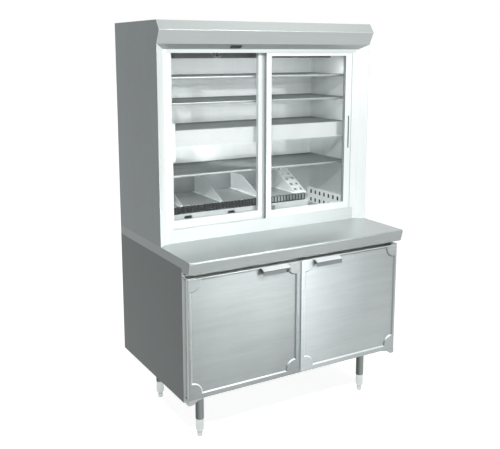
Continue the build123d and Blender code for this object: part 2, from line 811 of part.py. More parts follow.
# Evaporator under the ceiling: a sheet housing open at the back, a finned coil, two fans.
evapX = innerX - 100.0
evapTall = 83.0
evapY0 = trackBackY + 54.0
evapY1 = backIn - 22.0
evapZ = ceilingZ - evapTall
fanX = evapX / 2
fanZ = (evapZ + ceilingZ) / 2
fanRadius = 32.0
shaftRadius = 3.0
with BuildPart() as evap_housing:
    slab(-evapX, evapX, evapY0, evapY1, evapZ, ceilingZ)
    slab(-evapX + skin, evapX - skin, evapY0 + skin, evapY1 + 1.0, evapZ + skin, ceilingZ - skin, Mode.SUBTRACT)
    for x in (-fanX, fanX):
        with BuildSketch(Plane(origin=(x, evapY0, fanZ), x_dir=(1, 0, 0), z_dir=(0, -1, 0))) as inlet:
            RegularPolygon(fanRadius + 3.0, 24)
        extrude(inlet.sketch, amount=4.0, both=True, mode=Mode.SUBTRACT)
        slab(x - 6.0, x + 6.0, evapY0 + 34.0, evapY0 + 37.0, evapZ + skin, ceilingZ - skin)
        slab(x - 13.0, x + 13.0, evapY0 + 22.0, evapY0 + 42.0, fanZ - 13.0, fanZ + 13.0)
        with Locations(Location((x, evapY0 + 14.0, fanZ), (90, 0, 0))):
            Cylinder(shaftRadius, 20.0)
evap_housing.part.label = "evap_housing"
export_step(evap_housing.part, "parts/evap_housing.step")

coilY0 = evapY0 + 80.0
coilY1 = evapY1 - 30.0
with BuildPart() as evap_coil:
    slab(-evapX + 30.0, evapX - 30.0, coilY0 + 12.0, coilY1 - 12.0, fanZ - 22.0, fanZ + 22.0)
    finCount = 11
    finPitch = (2 * evapX - 60.0 - 2.0) / (finCount - 1)
    finTall = evapTall - 11.0
    finZ = evapZ + skin + finTall / 2
    finSpots = [(-evapX + 31.0 + i * finPitch, (coilY0 + coilY1) / 2, finZ) for i in range(finCount)]
    with Locations(*finSpots):
        Box(2.0, coilY1 - coilY0, finTall)
evap_coil.part.label = "evap_coil"
export_step(evap_coil.part, "parts/evap_coil.step")


def fanRotor(x):
    hubY = evapY0 + 12.0
    with BuildSketch(Plane(origin=(x, hubY + 7.0, fanZ), x_dir=(1, 0, 0), z_dir=(0, -1, 0))) as hub:
        RegularPolygon(10.0, 10)
    extrude(hub.sketch, amount=14.0)
    for i in range(5):
        with Locations(Location((x, hubY, fanZ), (0, 72.0 * i, 0))):
            with Locations(Location((8.0 + (fanRadius - 8.0) / 2, 0, 0), (30.0, 0, 0))):
                Box(fanRadius - 8.0, 1.5, 18.0)
    with Locations(Location((x, hubY, fanZ), (90, 0, 0))):
        Cylinder(shaftRadius + 0.05, 16.0, mode=Mode.SUBTRACT)


with BuildPart() as fan_left:
    fanRotor(-fanX)
fan_left.part.label = "fan_left"
export_step(fan_left.part, "parts/fan_left.step")

with BuildPart() as fan_right:
    fanRotor(fanX)
fan_right.part.label = "fan_right"
export_step(fan_right.part, "parts/fan_right.step")

# Bottom rack: dark wires turned down at the front, on two rails that stand on the floor.
rackX0 = -innerX + rackPlay
binX = [rackX0 + binFirst + i * binPitch for i in range(4)]
chuteX0 = binX[-1] + 1.0
chuteX1 = chuteX0 + chuteWide
rackRight = chuteX1 - 6.0
rackTop = floorZ + rackRise
rackFront = trackBackY + 6.0
rackBack = backIn - 34.0
rackBaseZ = rackTop - rackDrop
with BuildPart() as bottom_rack:
    rackCount = int((rackRight - rackX0 - rackWire) / rackPitch) + 1
    rackSpots = [rackX0 + rackWire / 2 + i * rackPitch for i in range(rackCount)]
    with BuildSketch(Plane(origin=(0, rackBack, 0), x_dir=(1, 0, 0), z_dir=(0, -1, 0))) as row:
        with Locations(*[(x, rackTop) for x in rackSpots]):
            Polygon((-rackWire / 2, 0.0), (0.0, -rackWire), (rackWire / 2, 0.0), align=None)
    extrude(row.sketch, amount=rackBack - rackFront - rackWire / 2)
    with Locations(*[(x, rackFront + rackWire / 2, rackTop - rackDrop / 2) for x in rackSpots]):
        Box(rackWire, rackWire, rackDrop)
    rackEnd = rackSpots[-1] + rackWire / 2
    slab(rackX0, rackEnd, rackFront, rackFront + rackWire, rackBaseZ, rackBaseZ + 6.0)
    slab(rackX0, rackEnd, rackBack - rackWire, rackBack, rackTop - 8.0, rackTop)
bottom_rack.part.label = "bottom_rack"
export_step(bottom_rack.part, "parts/bottom_rack.step")

frontRail = [
    (rackFront + 24.0, rackBaseZ),
    (rackFront, rackBaseZ),
    (rackFront, floorZ),
    (rackFront + 24.0, floorZ),
]
backRail = [
    (rackBack - 30.0, rackTop - 8.0),
    (rackBack - 2.0, rackTop - 8.0),
    (rackBack - 2.0, floorZ),
    (rackBack - 30.0, floorZ),
]
railX0 = -innerX + 18.0
notchPitch = 241.0
with BuildPart() as rack_rails:
    alongX(ribbon(frontRail, sheet), railX0, rackRight)
    for x in [railX0 + 121.0 + i * notchPitch for i in range(3)]:
        slab(x - 20.0, x + 20.0, rackFront - 1.0, rackFront + 3.0, floorZ + 30.0, rackBaseZ - 10.0, Mode.SUBTRACT)
    alongX(ribbon(backRail, -sheet), railX0, rackRight)
rack_rails.part.label = "rack_rails"
export_step(rack_rails.part, "parts/rack_rails.step")

# Product bins: a tray with an upright back and four dividers cut down towards the front.
binFrontY = rackFront + 12.0
binBackY = backIn - binBackGap
binFloorZ = rackTop + sheet
with BuildPart() as bin_tray:
    slab(rackX0, binX[-1] + 1.0, binFrontY, binBackY, rackTop, binFloorZ)
    slab(rackX0, binX[-1] + 1.0, binBackY - sheet, binBackY, rackTop, binFloorZ + binHeight)
bin_tray.part.label = "bin_tray"
export_step(bin_tray.part, "parts/bin_tray.step")

dividerLine = [
    (binFrontY + 2.0, binFloorZ),
    (binFrontY + 2.0, binFloorZ + 4.0),
    (binBackY - 127.0, binFloorZ + binHeight),
    (binBackY - sheet, binFloorZ + binHeight),
    (binBackY - sheet, binFloorZ),
]
with BuildPart() as bin_dividers:
    for x in binX:
        alongX(dividerLine, x - 1.0, x + 1.0)
        slab(x - 16.0, x - 1.0, binFrontY + 2.0, binBackY - sheet, binFloorZ, binFloorZ + skin)
bin_dividers.part.label = "bin_dividers"
export_step(bin_dividers.part, "parts/bin_dividers.step")

# Perforated chute beside the last bin, standing on the rack.
chuteRise = 114.0
chuteLow = (rackFront + 26.0, rackTop)
chuteHigh = (backIn - 128.0, rackTop + chuteRise)
chuteLine = [
    (rackFront + 14.0, rackTop),
    chuteLow,
    chuteHigh,
    (chuteHigh[0], rackTop),
]
chuteSlope = math.degrees(math.atan2(chuteHigh[1] - chuteLow[1], chuteHigh[0] - chuteLow[0]))
with BuildPart() as chute_plate:
    alongX(ribbon(chuteLine, skin), chuteX0, chuteX1)
    for i in range(5):
        t = 0.12 + 0.19 * i
        y = chuteLow[0] + t * (chuteHigh[0] - chuteLow[0])
        z = chuteLow[1] + t * (chuteHigh[1] - chuteLow[1])
        for x in (chuteX0 + 19.0, chuteX1 - 17.0):
            with Locations(Location((x, y, z), (chuteSlope, 0, 0))):
                Box(17.0, 19.0, 12.0, mode=Mode.SUBTRACT)
chute_plate.part.label = "chute_plate"
export_step(chute_plate.part, "parts/chute_plate.step")

# Perforated air strips along the foot of both side walls.
stripTall = 84.0
stripPitch = 43.0
stripX = innerX - 14.0
stripTop = floorZ + stripTall
stripY0 = shelfFront
stripY1 = backIn
stripCount = int((stripY1 - stripY0 - 20.0) / stripPitch)
stripLine = [
    (stripX, floorZ),
    (stripX, stripTop),
    (innerX, stripTop),
]
with BuildPart() as duct_strips:
    alongY(ribbon(stripLine, -skin), stripY0, stripY1)
    alongY(mirrorX(ribbon(stripLine, -skin)), stripY0, stripY1)
    for i in range(stripCount):
        y = stripY0 + 30.0 + stripPitch * i
        for z in (floorZ + 17.0, floorZ + stripTall - 20.0):
            with Locations(Location((0, y, z), (0, 90, 0))):
                Box(22.0, 17.0, 2 * stripX + 6.0, mode=Mode.SUBTRACT)
duct_strips.part.label = "duct_strips"
export_step(duct_strips.part, "parts/duct_strips.step")

# Service stubs under the base floor: a drain and a refrigerant line, both closed with caps.
stubTall = 15.0
with BuildPart() as service_stubs:
    for x, r in ((-300.0, 12.7), (-240.0, 7.9)):
        with Locations((x, backY - 130.0, baseFloorZ - stubTall / 2)):
            Cylinder(r, stubTall)
service_stubs.part.label = "service_stubs"
export_step(service_stubs.part, "parts/service_stubs.step")
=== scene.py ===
import bpy
import bmesh
import math
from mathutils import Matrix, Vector


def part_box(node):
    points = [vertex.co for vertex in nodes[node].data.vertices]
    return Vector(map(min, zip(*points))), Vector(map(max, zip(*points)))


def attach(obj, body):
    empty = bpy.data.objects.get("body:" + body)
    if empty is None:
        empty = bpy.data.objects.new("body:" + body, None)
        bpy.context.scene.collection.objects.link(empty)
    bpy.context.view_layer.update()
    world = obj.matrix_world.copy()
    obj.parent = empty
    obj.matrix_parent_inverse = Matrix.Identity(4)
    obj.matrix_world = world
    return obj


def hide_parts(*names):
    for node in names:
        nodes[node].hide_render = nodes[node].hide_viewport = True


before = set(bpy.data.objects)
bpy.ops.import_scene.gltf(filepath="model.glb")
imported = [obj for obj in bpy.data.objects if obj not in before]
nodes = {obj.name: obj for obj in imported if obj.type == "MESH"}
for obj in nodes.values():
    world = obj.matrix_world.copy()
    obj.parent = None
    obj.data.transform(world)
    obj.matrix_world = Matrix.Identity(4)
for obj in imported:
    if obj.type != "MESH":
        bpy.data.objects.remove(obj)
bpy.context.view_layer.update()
scene = bpy.context.scene
print("frame loaded:", len(nodes), "nodes")


# Colours and nodes

def linear(hexColour):
    channels = [int(hexColour[i:i + 2], 16) / 255 for i in (1, 3, 5)]
    return tuple(c / 12.92 if c <= 0.04045 else ((c + 0.055) / 1.055) ** 2.4 for c in channels) + (1.0,)


def mm(value):
    return value / 1000.0


def addNode(tree, kind, values=None, links=None, **settings):
    node = tree.nodes.new(kind)
    for key, value in settings.items():
        setattr(node, key, value)
    for key, value in (values or {}).items():
        node.inputs[key].default_value = value
    for key, source in (links or {}).items():
        tree.links.new(source, node.inputs[key])
    return node


def newMaterial(name):
    material = bpy.data.materials.new(name)
    material.use_nodes = True
    material.node_tree.nodes.clear()
    return material, material.node_tree


# What all the surfaces share
surface = {
    "colourLevels": (0.3, 0.7),  # values of the grain where the dark and the light colour are full
    "glossLevels": (0.25, 0.75),
    "glossDrift": (-0.05, 0.06),  # added to the roughness at those two levels
    "toneShare": 0.82,  # how far a tone hides the grain's own colour
    "ior": 1.5,
}


def colourAndGloss(tree, grain, dark, light, roughness):
    # both follow the grain: its light lines are a little rougher than its dark ones
    colour = addNode(tree, "ShaderNodeValToRGB", links={"Fac": grain})
    for stop, level, tone in zip(colour.color_ramp.elements, surface["colourLevels"], (dark, light)):
        stop.position, stop.color = level, linear(tone)
    levels, drift = surface["glossLevels"], surface["glossDrift"]
    gloss = addNode(tree, "ShaderNodeMapRange",
                    {"From Min": levels[0], "From Max": levels[1],
                     "To Min": roughness + drift[0], "To Max": roughness + drift[1]}, {"Value": grain})
    return colour.outputs["Color"], gloss.outputs["Result"]


def toneOver(tree, base, share, tone):
    # a Mix node's sockets: 0 is the factor, 2 and 3 are numbers, 6 and 7 colours, and output 2 the colour
    grained = addNode(tree, "ShaderNodeMix", {0: surface["toneShare"], 7: linear(tone)}, {6: base},
                      data_type="RGBA")
    toned = addNode(tree, "ShaderNodeMix", links={0: share, 6: base, 7: grained.outputs[2]},
                    data_type="RGBA")
    return toned.outputs[2]


def surfaceShader(tree, values, colour, gloss, relief):
    shader = addNode(tree, "ShaderNodeBsdfPrincipled", {"IOR": surface["ior"], **values},
                     {"Base Color": colour, "Roughness": gloss, "Normal": relief.outputs["Normal"]})
    addNode(tree, "ShaderNodeOutputMaterial", links={"Surface": shader.outputs["BSDF"]})
    return shader


# Brushed stainless: belts leave hair-fine parallel lines, 0.1 mm apart on the real sheet and drawn
# 1 mm apart so that they show, wider streaks a finger across, and a cloud a hand across. All in mm.
brushed = {
    "grainAcross": 1.0,
    "grainAlong": 60.0,
    "grainDetail": 3.0,
    "streakAcross": 38.0,
    "streakAlong": 620.0,
    "streakDetail": 2.0,
    "streakRoughness": 0.6,
    "cloud": 300.0,
    "cloudDetail": 2.0,
    "cloudShare": 0.5,
    "broadShare": 0.6,
    "bump": 0.05,
    "bumpDepth": 0.05,
    "stretchTurn": 0.25,
}


def brushedSteel(name, dark, light, roughness, alongAxis="X", metallic=1.0, grain=1.0, bump=brushed["bump"],
                 faceTones=(), depthTones=(), stretch=0.0):
    material, tree = newMaterial(name)
    place = addNode(tree, "ShaderNodeTexCoord").outputs["Object"]

    def streaks(across, along, detail):
        scale = [1.0 / mm(across)] * 3
        scale["XYZ".index(alongAxis)] = 1.0 / mm(along)
        drawnOut = addNode(tree, "ShaderNodeMapping", {"Scale": scale}, {"Vector": place})
        return addNode(tree, "ShaderNodeTexNoise",
                       {"Scale": 1.0, "Detail": detail, "Roughness": brushed["streakRoughness"]},
                       {"Vector": drawnOut.outputs["Vector"]}).outputs["Fac"]

    lines = streaks(brushed["grainAcross"] * grain, brushed["grainAlong"] * grain, brushed["grainDetail"])
    wide = streaks(brushed["streakAcross"], brushed["streakAlong"], brushed["streakDetail"])
    cloud = addNode(tree, "ShaderNodeTexNoise",
                    {"Scale": 1.0 / mm(brushed["cloud"]), "Detail": brushed["cloudDetail"]},
                    {"Vector": place}).outputs["Fac"]
    broad = addNode(tree, "ShaderNodeMix", {0: brushed["cloudShare"]}, {2: wide, 3: cloud},
                    data_type="FLOAT")
    both = addNode(tree, "ShaderNodeMix", {0: brushed["broadShare"]}, {2: lines, 3: broad.outputs[0]},
                   data_type="FLOAT")
    colour, gloss = colourAndGloss(tree, both.outputs[0], dark, light, roughness)

    metal = None
    if faceTones:  # the direction that a face looks in, on its own piece, so a tone swings with its door
        normal = addNode(tree, "ShaderNodeNewGeometry").outputs["True Normal"]
        local = addNode(tree, "ShaderNodeVectorTransform", links={"Vector": normal}, vector_type="NORMAL",
                        convert_from="WORLD", convert_to="OBJECT")
        looks = addNode(tree, "ShaderNodeSeparateXYZ", links={"Vector": local.outputs["Vector"]})
    for side, (start, full), tone, toneMetallic in faceTones:
        sign = -1.0 if side[0] == "-" else 1.0
        share = addNode(tree, "ShaderNodeMapRange", {"From Min": sign * start, "From Max": sign * full},
                        {"Value": looks.outputs[side[1]]}).outputs["Result"]
        colour = toneOver(tree, colour, share, tone)
        links = {0: share, 2: metal} if metal else {0: share}
        metal = addNode(tree, "ShaderNodeMix", {2: metallic, 3: toneMetallic}, links,
                        data_type="FLOAT").outputs[0]

    if depthTones:
        depth = addNode(tree, "ShaderNodeSeparateXYZ", links={"Vector": place}).outputs["Y"]
    for start, full, tone in depthTones:
        share = addNode(tree, "ShaderNodeMapRange", {"From Min": mm(start), "From Max": mm(full)},
                        {"Value": depth}).outputs["Result"]
        colour = toneOver(tree, colour, share, tone)

    relief = addNode(tree, "ShaderNodeBump", {"Strength": bump, "Distance": mm(brushed["bumpDepth"])},
                     {"Height": lines})
    values = {"Metallic": metallic}
    if stretch:  # highlights spread across the grain
        values.update({"Anisotropic": stretch, "Anisotropic Rotation": brushed["stretchTurn"]})
    shader = surfaceShader(tree, values, colour, gloss, relief)
    if metal:
        tree.links.new(metal, shader.inputs["Metallic"])
    return material


# Moulded, painted, dipped or zinc coated surfaces: a faint mould grain, orange peel or spangle, and
# over it a slow drift of colour a hand across. All in mm.
moulded = {
    "grain": 0.8,
    "grainDetail": 2.0,
    "drift": 180.0,
    "driftDetail": 3.0,
    "driftShare": 0.7,
    "bump": 0.04,
    "bumpDepth": 0.1,
    "glowColour": "#fbfffe",
}


def smoothSurface(name, dark, light, roughness, grain=moulded["grain"], bump=moulded["bump"], metallic=0.0,
                  coat=0.0, glow=0.0):
    material, tree = newMaterial(name)
    place = addNode(tree, "ShaderNodeTexCoord").outputs["Object"]
    peel = addNode(tree, "ShaderNodeTexNoise", {"Scale": 1.0 / mm(grain), "Detail": moulded["grainDetail"]},
                   {"Vector": place}).outputs["Fac"]
    drift = addNode(tree, "ShaderNodeTexNoise",
                    {"Scale": 1.0 / mm(moulded["drift"]), "Detail": moulded["driftDetail"]},
                    {"Vector": place}).outputs["Fac"]
    both = addNode(tree, "ShaderNodeMix", {0: moulded["driftShare"]}, {2: peel, 3: drift},
                   data_type="FLOAT")
    colour, gloss = colourAndGloss(tree, both.outputs[0], dark, light, roughness)
    relief = addNode(tree, "ShaderNodeBump", {"Strength": bump, "Distance": mm(moulded["bumpDepth"])},
                     {"Height": peel})
    surfaceShader(tree, {"Metallic": metallic, "Coat Weight": coat, "Emission Strength": glow,
                         "Emission Color": linear(moulded["glowColour"])}, colour, gloss, relief)
    return material


# Clear tempered glass: nearly invisible from the front, with a cool green cast and hand marks, in mm.
glass = {
    "tint": "#e9f4f1",
    "alpha": 0.015,
    "marks": 90.0,
    "marksDetail": 4.0,
    "markLevels": (0.45, 0.75),
    "roughness": (0.02, 0.12),
}


def clearGlass(name):
    material, tree = newMaterial(name)
    place = addNode(tree, "ShaderNodeTexCoord").outputs["Object"]
    marks = addNode(tree, "ShaderNodeTexNoise",
                    {"Scale": 1.0 / mm(glass["marks"]), "Detail": glass["marksDetail"]}, {"Vector": place})
    levels, rough = glass["markLevels"], glass["roughness"]
    gloss = addNode(tree, "ShaderNodeMapRange",
                    {"From Min": levels[0], "From Max": levels[1], "To Min": rough[0], "To Max": rough[1]},
                    {"Value": marks.outputs["Fac"]})
    shader = addNode(tree, "ShaderNodeBsdfPrincipled",
                     {"Base Color": linear(glass["tint"]), "Alpha": glass["alpha"], "IOR": surface["ior"]},
                     {"Roughness": gloss.outputs["Result"]})
    addNode(tree, "ShaderNodeOutputMaterial", links={"Surface": shader.outputs["BSDF"]})
    material.surface_render_method = "BLENDED"
    return material


# A face tone is (side, how squarely the face looks to that side, colour, metallic): it starts at the
# first share of the face's normal and is full at the second. A depth tone is (start, full, colour), in
# mm from the middle toward the back. Most tones below paint light and shade by the way a face looks or
# how far back it lies; the zinc back and the lined inner faces are a second coat.
slanted = (0.3, 0.6)
facing = (0.6, 0.9)
square = (0.85, 0.98)

# The end faces of the long bent sheets are coloured darker as painted shade, and the outer back is zinc
# coated
paintedShadeEnds = [("-X", facing, "#6f7575", 0.8), ("+X", facing, "#6f7575", 0.8)]
zincBack = [("+Y", facing, "#969c9b", 0.9)]


def baseSideTones(inside):
    # painted highlight on the folded front edge, coloured bright as a lit front face; the inner face is
    # bright lining
    return [("-Y", facing, "#e8eeee", 0.15), (inside, facing, "#c8cece", 0.5)] + zincBack


def doorLightAndShadeTones(rightTone):
    # painted light and shade: the press's slanted rim has a painted highlight below and painted shade above,
    # its side rims are lighter or darker by the way they face, and the door's own two upright edges carry a
    # painted highlight
    return [("+X", slanted, rightTone, 0.4), ("-X", slanted, "#6f7575", 0.6),
            ("+X", square, "#c6cccc", 0.5), ("-X", square, "#c6cccc", 0.5),
            ("+Z", slanted, "#e9efee", 0.3), ("-Z", slanted, "#5f6565", 0.6)]


finishes = {
    # Satin stainless outer sides, coloured a darker grey than the door skins as painted shade, with a
    # painted highlight on the folded front edge; the base's sides are darker still, as painted shade low
    # down
    "sideSteel": brushedSteel("satinStainlessSidePaintedShade", "#696f70", "#7a8081", 0.42,
                              faceTones=[("-Y", facing, "#d0d6d6", 0.4)]),
    "baseSideLeft": brushedSteel("satinStainlessBaseLeftPaintedShade", "#4b5150", "#5c6261", 0.42,
                                 faceTones=baseSideTones("+X")),
    "baseSideRight": brushedSteel("satinStainlessBaseRightPaintedShade", "#4b5150", "#5c6261", 0.42,
                                  faceTones=baseSideTones("-X")),
    # Bright annealed lining, which mirrors the shelves softly; the backs are zinc coated outside
    "liningUpright": brushedSteel("brightStainlessLining", "#dce2e2", "#ecf1f1", 0.4, "Z", metallic=0.2),
    "liningFlat": brushedSteel("brightStainlessFloor", "#bcc2c1", "#ccd2d1", 0.34, metallic=0.6),
    "backLining": brushedSteel("brightStainlessBack", "#dce2e2", "#ecf1f1", 0.4, "Z", metallic=0.2,
                               faceTones=zincBack),
    "baseBackLining": brushedSteel("brightStainlessBaseBack", "#8d9392", "#a8aead", 0.45, "Z",
                                   metallic=0.9, faceTones=[("-Y", facing, "#c8cece", 0.5)]),
    # Satin stainless door skins, brushed level, so that a highlight stands up as a tall soft band; the left
    # skin is coloured darker than the right, as painted shade on the left and painted light on the right
    "doorSteelLeft": brushedSteel("satinStainlessDoorLeftPaintedShade", "#787d7d", "#8e9393", 0.46, stretch=0.8,
                                  faceTones=doorLightAndShadeTones("#e9efee")),
    "doorSteelRight": brushedSteel("satinStainlessDoorRightPaintedLight", "#9aa0a0", "#b2b8b8", 0.46, stretch=0.8,
                                   faceTones=doorLightAndShadeTones("#8b9191")),
    # Pull: the top face is coloured near white as a painted highlight, and the front lip darker as painted
    # shade
    "handleSteel": brushedSteel("satinStainlessPullPaintedLight", "#7d8383", "#8d9393", 0.36, metallic=0.6,
                                faceTones=[("+Z", (0.2, 0.5), "#f2f7f7", 0.1),
                                           ("-Y", (0.85, 0.97), "#6a6f6f", 0.5)]),
    # Counter, nose and canopy: satin stainless brushed along the front; the counter's top is coloured
    # lighter as a painted highlight, and the canopy's slanted faces and all the end faces darker, as painted
    # shade
    "counterSteel": brushedSteel("satinStainlessCounterPaintedLight", "#8f9594", "#a0a6a5", 0.36, metallic=0.7,
                                 faceTones=[("+Z", (0.6, 0.95), "#b2b9b8", 0.6)] + paintedShadeEnds),
    "canopySteel": brushedSteel("satinStainlessCanopyPaintedShade", "#adb3b2", "#bdc3c2", 0.42, metallic=0.8,
                                faceTones=[("+Z", slanted, "#949a99", 0.4),
                                           ("-Z", slanted, "#a3a9a8", 0.6)] + paintedShadeEnds),
    # Base front frame: near white, almost without metal sheen, as painted light in the gap under the counter
    "frameSteel": brushedSteel("satinStainlessFramePaintedLight", "#cfd5d4", "#dde3e2", 0.5, metallic=0.05),
    # Hinge and clip metal, tumbled smooth
    "hingeSteel": brushedSteel("tumbledStainless", "#9aa09f", "#adb3b2", 0.38, metallic=0.6, grain=0.6),
    # Anodised aluminium door frames, jambs and tracks: fine etched and nearly white
    "frameAluminium": brushedSteel("anodisedAluminium", "#dce2e1", "#ebf1f0", 0.4, "Z", metallic=0.15,
                                   grain=0.5, bump=0.02),
    # Front slider: faces that look left are coloured dark, as painted shade beside the rear slider's stile
    "sliderAluminium": brushedSteel("anodisedAluminiumSliderPaintedShade", "#dce2e1", "#ebf1f0", 0.4, "Z",
                                    metallic=0.15, grain=0.5, bump=0.02,
                                    faceTones=[("-X", facing, "#767c7c", 0.5)]),
    "trackAluminium": brushedSteel("anodisedAluminiumTrack", "#c4cbca", "#d4dbda", 0.4, metallic=0.15,
                                   grain=0.5, bump=0.02),
    # Rolled mild steel with a zinc coat: spangles a finger across
    "galvanised": smoothSurface("galvanisedSteel", "#8d9392", "#a8aead", 0.45, grain=9.0, bump=0.03,
                                metallic=0.9),
    # Housing sheet: coloured darker than the galvanised sheet, as painted shade under the head and canopy
    "housingZinc": smoothSurface("zincSheetPaintedShade", "#666a6a", "#757979", 0.5, grain=9.0, bump=0.03,
                                 metallic=0.4),
    # Drawn tube, coloured dark with a pale line on the faces that look forward, as painted reflection, and
    # bright turned feet
    "legTube": brushedSteel("drawnStainlessTubePaintedReflection", "#4c5150", "#5b605f", 0.26, "Z", metallic=0.9,
                            faceTones=[("-Y", (0.55, 0.98), "#868c8b", 0.9)]),
    "footBright": brushedSteel("turnedBrightSteel", "#bcc2c1", "#d0d6d5", 0.22, metallic=0.9, grain=0.5),
    # Chromed wire: the flat front bar is coloured brighter than the wires, and the wires darken toward the
    # back as painted shade
    "wireChrome": brushedSteel("chromedWirePaintedShade", "#7b8180", "#929897", 0.36, "Y", grain=2.0, bump=0.03,
                               metallic=0.5,
                               depthTones=[(-8.0, -8.6, "#a6acac"), (230.0, 345.0, "#3f4444")]),
    # Dipped black wire and powder coats: thick skins with a soft orange peel
    "rackBlack": smoothSurface("blackDippedWire", "#0c0d0e", "#16181a", 0.5, grain=2.0, bump=0.1),
    "whitePaint": smoothSurface("whitePowderCoat", "#d0d6d5", "#dce2e1", 0.4, grain=1.2, bump=0.06),
    # Rack rails: coloured darker than the valance's white coat, as painted shade
    "railPaint": smoothSurface("whiteRailCoatPaintedShade", "#b4baba", "#c0c6c6", 0.4, grain=1.2, bump=0.06),
    # Duct strips: a faint glow, as painted light, though they are no lamp
    "ductWhite": smoothSurface("whiteDuctStripPaintedGlow", "#e2e8e7", "#eef3f2", 0.4, grain=1.2, bump=0.06,
                               glow=0.22),
    # A dark matt sheet, seen only through the strips' holes, as painted shade of the ducts behind them
    "ductShade": smoothSurface("paintedDuctShade", "#1c1e1e", "#2a2d2d", 0.7, grain=1.0, bump=0.05),
    # Bins, their dividers and the chute: bent from bright sheet, with a faint drawn grain; the dividers are
    # coloured lighter than the chute as painted light on faces that the lamps barely reach, and the bin tray
    # darker
    "pressedSteel": brushedSteel("pressedBrightSheet", "#d6dcdb", "#e6eceb", 0.4, "Y", metallic=0.15),
    "dividerSteel": brushedSteel("dividerSheetPaintedLight", "#e8eeee", "#f4f9f9", 0.4, "Y", metallic=0.05),
    "binSteel": brushedSteel("satinBinSheet", "#868c8c", "#9aa0a0", 0.4, metallic=0.2),
    # Formed ABS liners and soft vinyl gaskets: matt, with a fine mould grain
    "linerPlastic": smoothSurface("vacuumFormedAbs", "#d3d7d6", "#e0e4e3", 0.42, grain=0.7, bump=0.05),
    "gasketVinyl": smoothSurface("softVinylGasket", "#3b3f3f", "#4a4e4e", 0.6, grain=0.6, bump=0.05),
    # Fluorescent tubes, lit, with a white phosphor that hides the inside
    "lampGlass": smoothSurface("opalGlassTube", "#c6cac9", "#d2d6d5", 0.25, grain=2.0, bump=0.01,
                               coat=0.4, glow=0.15),
    # Small mouldings: polycarbonate holders, nylon switch and plug, fan plastic, all with a fine grain
    "holderPlastic": smoothSurface("mouldedPolycarbonate", "#d2d6d5", "#dde1e1", 0.4, grain=0.7,
                                   bump=0.05),
    "switchBlack": smoothSurface("mouldedBlackNylon", "#363a3a", "#434747", 0.32, grain=0.6),
    "plugGrey": smoothSurface("mouldedGreyNylon", "#1f2222", "#2b2e2e", 0.4, grain=0.6),
    "fanBlack": smoothSurface("mouldedFanPlastic", "#1d1f20", "#292b2c", 0.45, bump=0.05),
    # Thin aluminium, copper and zinc plate, drawn or stamped
    "coilAluminium": brushedSteel("coilFinAluminium", "#b5bbba", "#c8cecd", 0.4, "Z", grain=0.4),
    "copper": brushedSteel("drawnCopper", "#b4714f", "#c98a68", 0.32, "Z", grain=0.5),
    "capAluminium": brushedSteel("crimpedAluminiumCap", "#bfc4c4", "#d0d5d5", 0.36, grain=0.4),
    "boltZinc": smoothSurface("zincPlatedBolt", "#9a9e9c", "#b0b4b2", 0.34, grain=1.5, metallic=0.9),
    "pane": clearGlass("clearTemperedGlass"),
}

finishNodes = {
    "sideSteel": "side_upper_left side_upper_right",
    "baseSideLeft": "base_side_left",
    "baseSideRight": "base_side_right",
    "liningUpright": "wall_left wall_right",
    "liningFlat": "base_floor display_floor",
    "backLining": "back_panel",
    "baseBackLining": "base_back",
    "doorSteelLeft": "door_left",
    "doorSteelRight": "door_right",
    "handleSteel": "handle_left handle_right",
    "counterSteel": "counter_top",
    "canopySteel": "canopy",
    "frameSteel": "base_front_frame",
    "hingeSteel": "hinges_left hinges_right shelf_clips",
    "frameAluminium": "jamb_left jamb_right slider_rear_frame",
    "sliderAluminium": "slider_front_frame",
    "trackAluminium": "head_track sill_track",
    "galvanised": "roof leg_rails",
    "housingZinc": "evap_housing",
    "legTube": "legs",
    "footBright": "foot_front_left foot_front_right foot_back_left foot_back_right",
    "wireChrome": "shelf_1 shelf_2 shelf_3 shelf_4 base_shelf",
    "rackBlack": "bottom_rack",
    "whitePaint": "valance",
    "railPaint": "rack_rails",
    "ductWhite": "duct_strips",
    "pressedSteel": "chute_plate",
    "dividerSteel": "bin_dividers",
    "binSteel": "bin_tray",
    "linerPlastic": "door_left_liner door_right_liner",
    "gasketVinyl": "door_left_gasket door_right_gasket",
    "lampGlass": "lamps",
    "holderPlastic": "lamp_holders",
    "switchBlack": "switch_plate switch_rocker",
    "fanBlack": "fan_left fan_right",
    "coilAluminium": "evap_coil",
    "copper": "service_stubs",
    "pane": "slider_front_glass slider_rear_glass",
}
nodeFinish = {name: finish for finish, names in finishNodes.items() for name in names.split()}
for name, node in nodes.items():
    node.data.materials.clear()
    node.data.materials.append(finishes[nodeFinish[name]])
print("finishes set on the frame")


# Added pieces, measured in mm

def corners(node):
    low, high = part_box(node)
    return [1000.0 * v for v in low], [1000.0 * v for v in high]


def addPiece(name, solids, body, finish, smooth=30.0):
    # solids is a list of (points, faces), and smooth the angle in degrees below which an edge is soft
    mesh = bpy.data.meshes.new(name)
    points, faces = [], []
    for solidPoints, solidFaces in solids:
        start = len(points)
        points += [tuple(mm(v) for v in point) for point in solidPoints]
        faces += [tuple(start + i for i in face) for face in solidFaces]
    mesh.from_pydata(points, [], faces)
    work = bmesh.new()
    work.from_mesh(mesh)
    bmesh.ops.recalc_face_normals(work, faces=work.faces)
    work.to_mesh(mesh)
    work.free()
    mesh.shade_smooth()
    mesh.set_sharp_from_angle(angle=math.radians(smooth))
    piece = bpy.data.objects.new(name, mesh)
    scene.collection.objects.link(piece)
    mesh.materials.append(finishes[finish])
    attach(piece, body)
    return piece


